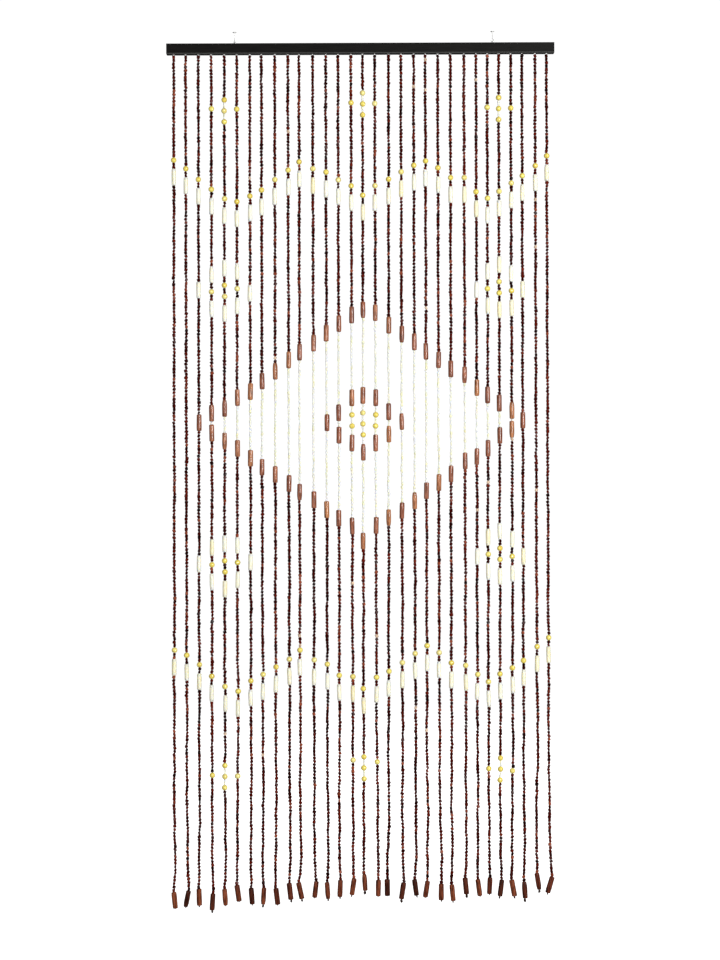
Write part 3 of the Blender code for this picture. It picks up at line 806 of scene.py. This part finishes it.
bpy.ops.mesh.primitive_uv_sphere_add(segments=BALL_SIDES, ring_count=12, radius=BALL_WIDTH / 2)
ball_pattern = bpy.context.object
bpy.ops.object.mode_set(mode="EDIT")
bpy.ops.mesh.select_mode(type="FACE")
for end in (-1, 1):
    bpy.ops.mesh.select_all(action="SELECT")
    bpy.ops.mesh.bisect(plane_co=(0, 0, end * POLE * BALL_WIDTH / 2), plane_no=(0, 0, end),
                        use_fill=True, clear_outer=True)
    choose(ball_pattern, lambda face: face.normal.z * end > 0.999)
    bpy.ops.mesh.inset(thickness=BALL_RIM)
    bpy.ops.mesh.extrude_region_move(TRANSFORM_OT_translate={"value": (0, 0, -end * BALL_RECESS)})
bpy.ops.object.mode_set(mode="OBJECT")
thread_copies("yellow_balls", [ball_pattern], big_spots["ball"], golden_lacquer(), "yellow_balls")
forget(ball_pattern)


# Under each last tube the thread is tied off in a small hard knot, with a short cut tail
# that sticks out to one side. Some knots are big, and some are half drawn into the bore.
KNOT_WIDTH = 0.0064
KNOT_SHAPE = (0.85, 0.8, 1.1)
KNOT_BELOW = 0.0036
KNOT_LEAN = 0.2
LOOP_REACH = 0.36
TAIL_LENGTH = 0.0052
TAIL_SLANT = 148

bpy.ops.mesh.primitive_ico_sphere_add(subdivisions=2, radius=KNOT_WIDTH / 2)
knot = bpy.context.object
knot.scale = KNOT_SHAPE
settle(knot)
bpy.ops.mesh.primitive_torus_add(major_radius=KNOT_WIDTH * LOOP_REACH,
                                 minor_radius=THREAD_WIDTH * 0.5, major_segments=12,
                                 minor_segments=6, rotation=(0.5, 0.3, 0))
loop = bpy.context.object
bpy.ops.mesh.primitive_cone_add(vertices=6, radius1=THREAD_WIDTH / 2, radius2=THREAD_WIDTH * 0.3,
                                depth=TAIL_LENGTH, rotation=(0, math.radians(TAIL_SLANT), 0),
                                location=(TAIL_LENGTH * 0.35, 0, -TAIL_LENGTH * 0.5))
tail = bpy.context.object
knot_pattern = joined([knot, loop, tail], "knot_pattern")
draw = random.Random(5)
knot_spots = []
for number, string in enumerate(STRINGS):
    foot = string["end"] * MM + TUBE_LENGTH / 2
    turn = (Matrix.Rotation(draw.uniform(0, math.tau), 3, "Z")
            @ Matrix.Rotation(draw.gauss(0, KNOT_LEAN), 3, "X"))
    size = KNOT_SIZES[number]
    spot = place_at(number, foot + KNOT_BELOW * size)
    knot_spots.append((0, spot, turn, (size, size, size), draw.random()))
thread_copies("knots", [knot_pattern], knot_spots, WAXED, "thread")
forget(knot_pattern)


# The rail hangs by two screw eyes in its top, each in a small cup hook of bent plated wire. A
# hook's shank comes down from a round flange against the lintel and ends in a round bowl.
HOOKS = ((-0.292, 90.0), (0.307, 0.0))
HOOK_WIRE = 0.0018
HOOK_BOWL = 0.0030
BOWL_START = 60.0
BOWL_SWEEP = 260.0
BOWL_STEPS = 26
FLANGE_WIDTH = 0.0092
FLANGE_HEIGHT = 0.0009
HANG_WIRE = 0.0015
HANG_RING = 0.0022
HANG_SHANK = 0.008
SEAT_GAP = 0.0003
WIRE_SIDES = 14

HANGING_METAL = bright_metal("hanging_plating", 0.8)
ring_z = RAIL_TOP + HANG_WIRE / 2 + HANG_RING
bowl_z = RAIL_TOP + 2 * HANG_RING - SEAT_GAP - HOOK_WIRE / 2 + HOOK_BOWL
bowl_angles = [math.radians(BOWL_START - BOWL_SWEEP * step / BOWL_STEPS)
               for step in range(BOWL_STEPS + 1)]
hook_path = [(0.0, -FLANGE_HEIGHT), (0.0, bowl_z + 1.5 * HOOK_BOWL)]
hook_path += [(HOOK_BOWL * math.cos(angle), bowl_z + HOOK_BOWL * math.sin(angle))
              for angle in bowl_angles]
for number, (across, turn) in enumerate(HOOKS, start=1):
    bpy.ops.mesh.primitive_torus_add(major_radius=HANG_RING, minor_radius=HANG_WIRE / 2,
                                     major_segments=32, minor_segments=WIRE_SIDES,
                                     rotation=(0, math.pi / 2, 0), location=(0, 0, ring_z))
    ring = bpy.context.object
    length = HANG_SHANK + HANG_WIRE / 2
    bpy.ops.mesh.primitive_cylinder_add(vertices=WIRE_SIDES, radius=HANG_WIRE / 2, depth=length,
                                        location=(0, 0, RAIL_TOP + HANG_WIRE / 2 - length / 2))
    shank = bpy.context.object
    eye = joined([ring, shank], f"hanging_eye_{number}")

    bend = bpy.data.curves.new(f"hook_bend_{number}", "CURVE")
    bend.dimensions = "3D"
    bend.bevel_depth = HOOK_WIRE / 2
    bend.bevel_resolution = 3
    bend.use_fill_caps = True
    spline = bend.splines.new("POLY")
    spline.points.add(len(hook_path) - 1)
    for point, (side, height) in zip(spline.points, hook_path):
        point.co = (side, 0.0, height, 1.0)
    wire = bpy.data.objects.new(f"hook_wire_{number}", bend)
    bpy.context.collection.objects.link(wire)
    alone(wire)
    bpy.ops.object.convert(target="MESH")
    wire = bpy.context.object
    bpy.ops.mesh.primitive_cylinder_add(vertices=24, radius=FLANGE_WIDTH / 2, depth=FLANGE_HEIGHT,
                                        location=(0, 0, -FLANGE_HEIGHT / 2))
    flange = bpy.context.object
    bpy.ops.object.mode_set(mode="EDIT")
    bpy.ops.mesh.select_all(action="SELECT")
    bpy.ops.mesh.bevel(offset=FLANGE_HEIGHT / 4, segments=2, affect="EDGES")
    bpy.ops.object.mode_set(mode="OBJECT")
    hook = joined([wire, flange], f"hanging_hook_{number}")

    for piece, replaced in ((eye, f"eye_{number}"), (hook, f"hook_{number}")):
        piece.rotation_euler.z = math.radians(turn)
        piece.location.x = across
        settle(piece)
        piece.data.materials.clear()
        piece.data.materials.append(HANGING_METAL)
        bpy.ops.object.shade_smooth_by_angle(angle=math.radians(40))
        hand_over(piece, "hanging_metal", replaced)


# The floor and the light: a pale studio floor under the curtain, soft even light all round, one
# large soft light from the front right above the curtain's middle, a weak one from the front
# left, and one from behind that gives no highlights.
FLOOR_DROP = 0.09
FLOOR_SIZE = 16.0
MIDDLE = Vector((0.0, 0.0, (CAD_BOX[0][2] + CAD_BOX[1][2]) / 2))

bpy.ops.mesh.primitive_plane_add(size=FLOOR_SIZE, location=(0, 0, CAD_BOX[0][2] - FLOOR_DROP))
floor = bpy.context.object
floor.name = "studio_floor"
floor_paint, tree, shader = finish_of("studio_floor_paint", 0.9)
shader.inputs["Base Color"].default_value = (0.93, 0.93, 0.93, 1.0)
shader.inputs["Emission Color"].default_value = (1.0, 1.0, 1.0, 1.0)
shader.inputs["Emission Strength"].default_value = 0.85
floor.data.materials.append(floor_paint)
floor.visible_diffuse = False
floor.visible_glossy = False

world = bpy.data.worlds.new("studio")
bpy.context.scene.world = world
world.use_nodes = True
tree = world.node_tree
backdrop = tree.nodes["Background"]
backdrop.inputs["Strength"].default_value = 1.05
backdrop.inputs["Color"].default_value = (1, 1, 1, 1)
around = add_node(tree, "ShaderNodeBackground", {"Strength": 0.18})
around.inputs["Color"].default_value = (1, 1, 1, 1)
seen = add_node(tree, "ShaderNodeLightPath")
both = add_node(tree, "ShaderNodeMixShader")
tree.links.new(seen.outputs["Is Camera Ray"], both.inputs[0])
tree.links.new(around.outputs[0], both.inputs[1])
tree.links.new(backdrop.outputs[0], both.inputs[2])
tree.links.new(both.outputs[0], tree.nodes["World Output"].inputs["Surface"])


def soft_light(name, place, size, power, shine=True):
    """Adds a square area light that faces the curtain's middle, with or without highlights."""
    lamp = bpy.data.lights.new(name, "AREA")
    lamp.size = size
    lamp.energy = power
    light = bpy.data.objects.new(name, lamp)
    light.location = place
    light.rotation_euler = (MIDDLE - Vector(place)).to_track_quat("-Z", "Y").to_euler()
    light.visible_glossy = shine
    bpy.context.collection.objects.link(light)


soft_light("key_light", (1.9, -3.6, -0.5), 1.3, 170.0)
soft_light("fill_light", (-2.2, -3.6, -1.0), 2.2, 26.0)
soft_light("back_light", (0.8, 3.6, 0.4), 2.5, 60.0, shine=False)


# The camera looks straight at the curtain from its mid height, as in the photograph, with
# the photograph's own slight roll. Its distance gives the same scale on the curtain's plane.
LENS = 70.0
METRES_PER_LENS_MM = 0.06194
DISTANCE = METRES_PER_LENS_MM * LENS
VIEW_HEIGHT = RAIL_TOP - 1.0134
VIEW_SIDE = -0.0043
ROLL = 0.0037
camera_data = bpy.data.cameras.new("camera")
camera_data.lens = LENS
camera = bpy.data.objects.new("camera", camera_data)
camera.location = (VIEW_SIDE, -DISTANCE, VIEW_HEIGHT)
camera.rotation_euler = (math.pi / 2, ROLL, 0)
bpy.context.collection.objects.link(camera)
bpy.context.scene.camera = camera
bpy.context.scene.view_settings.view_transform = "Standard"
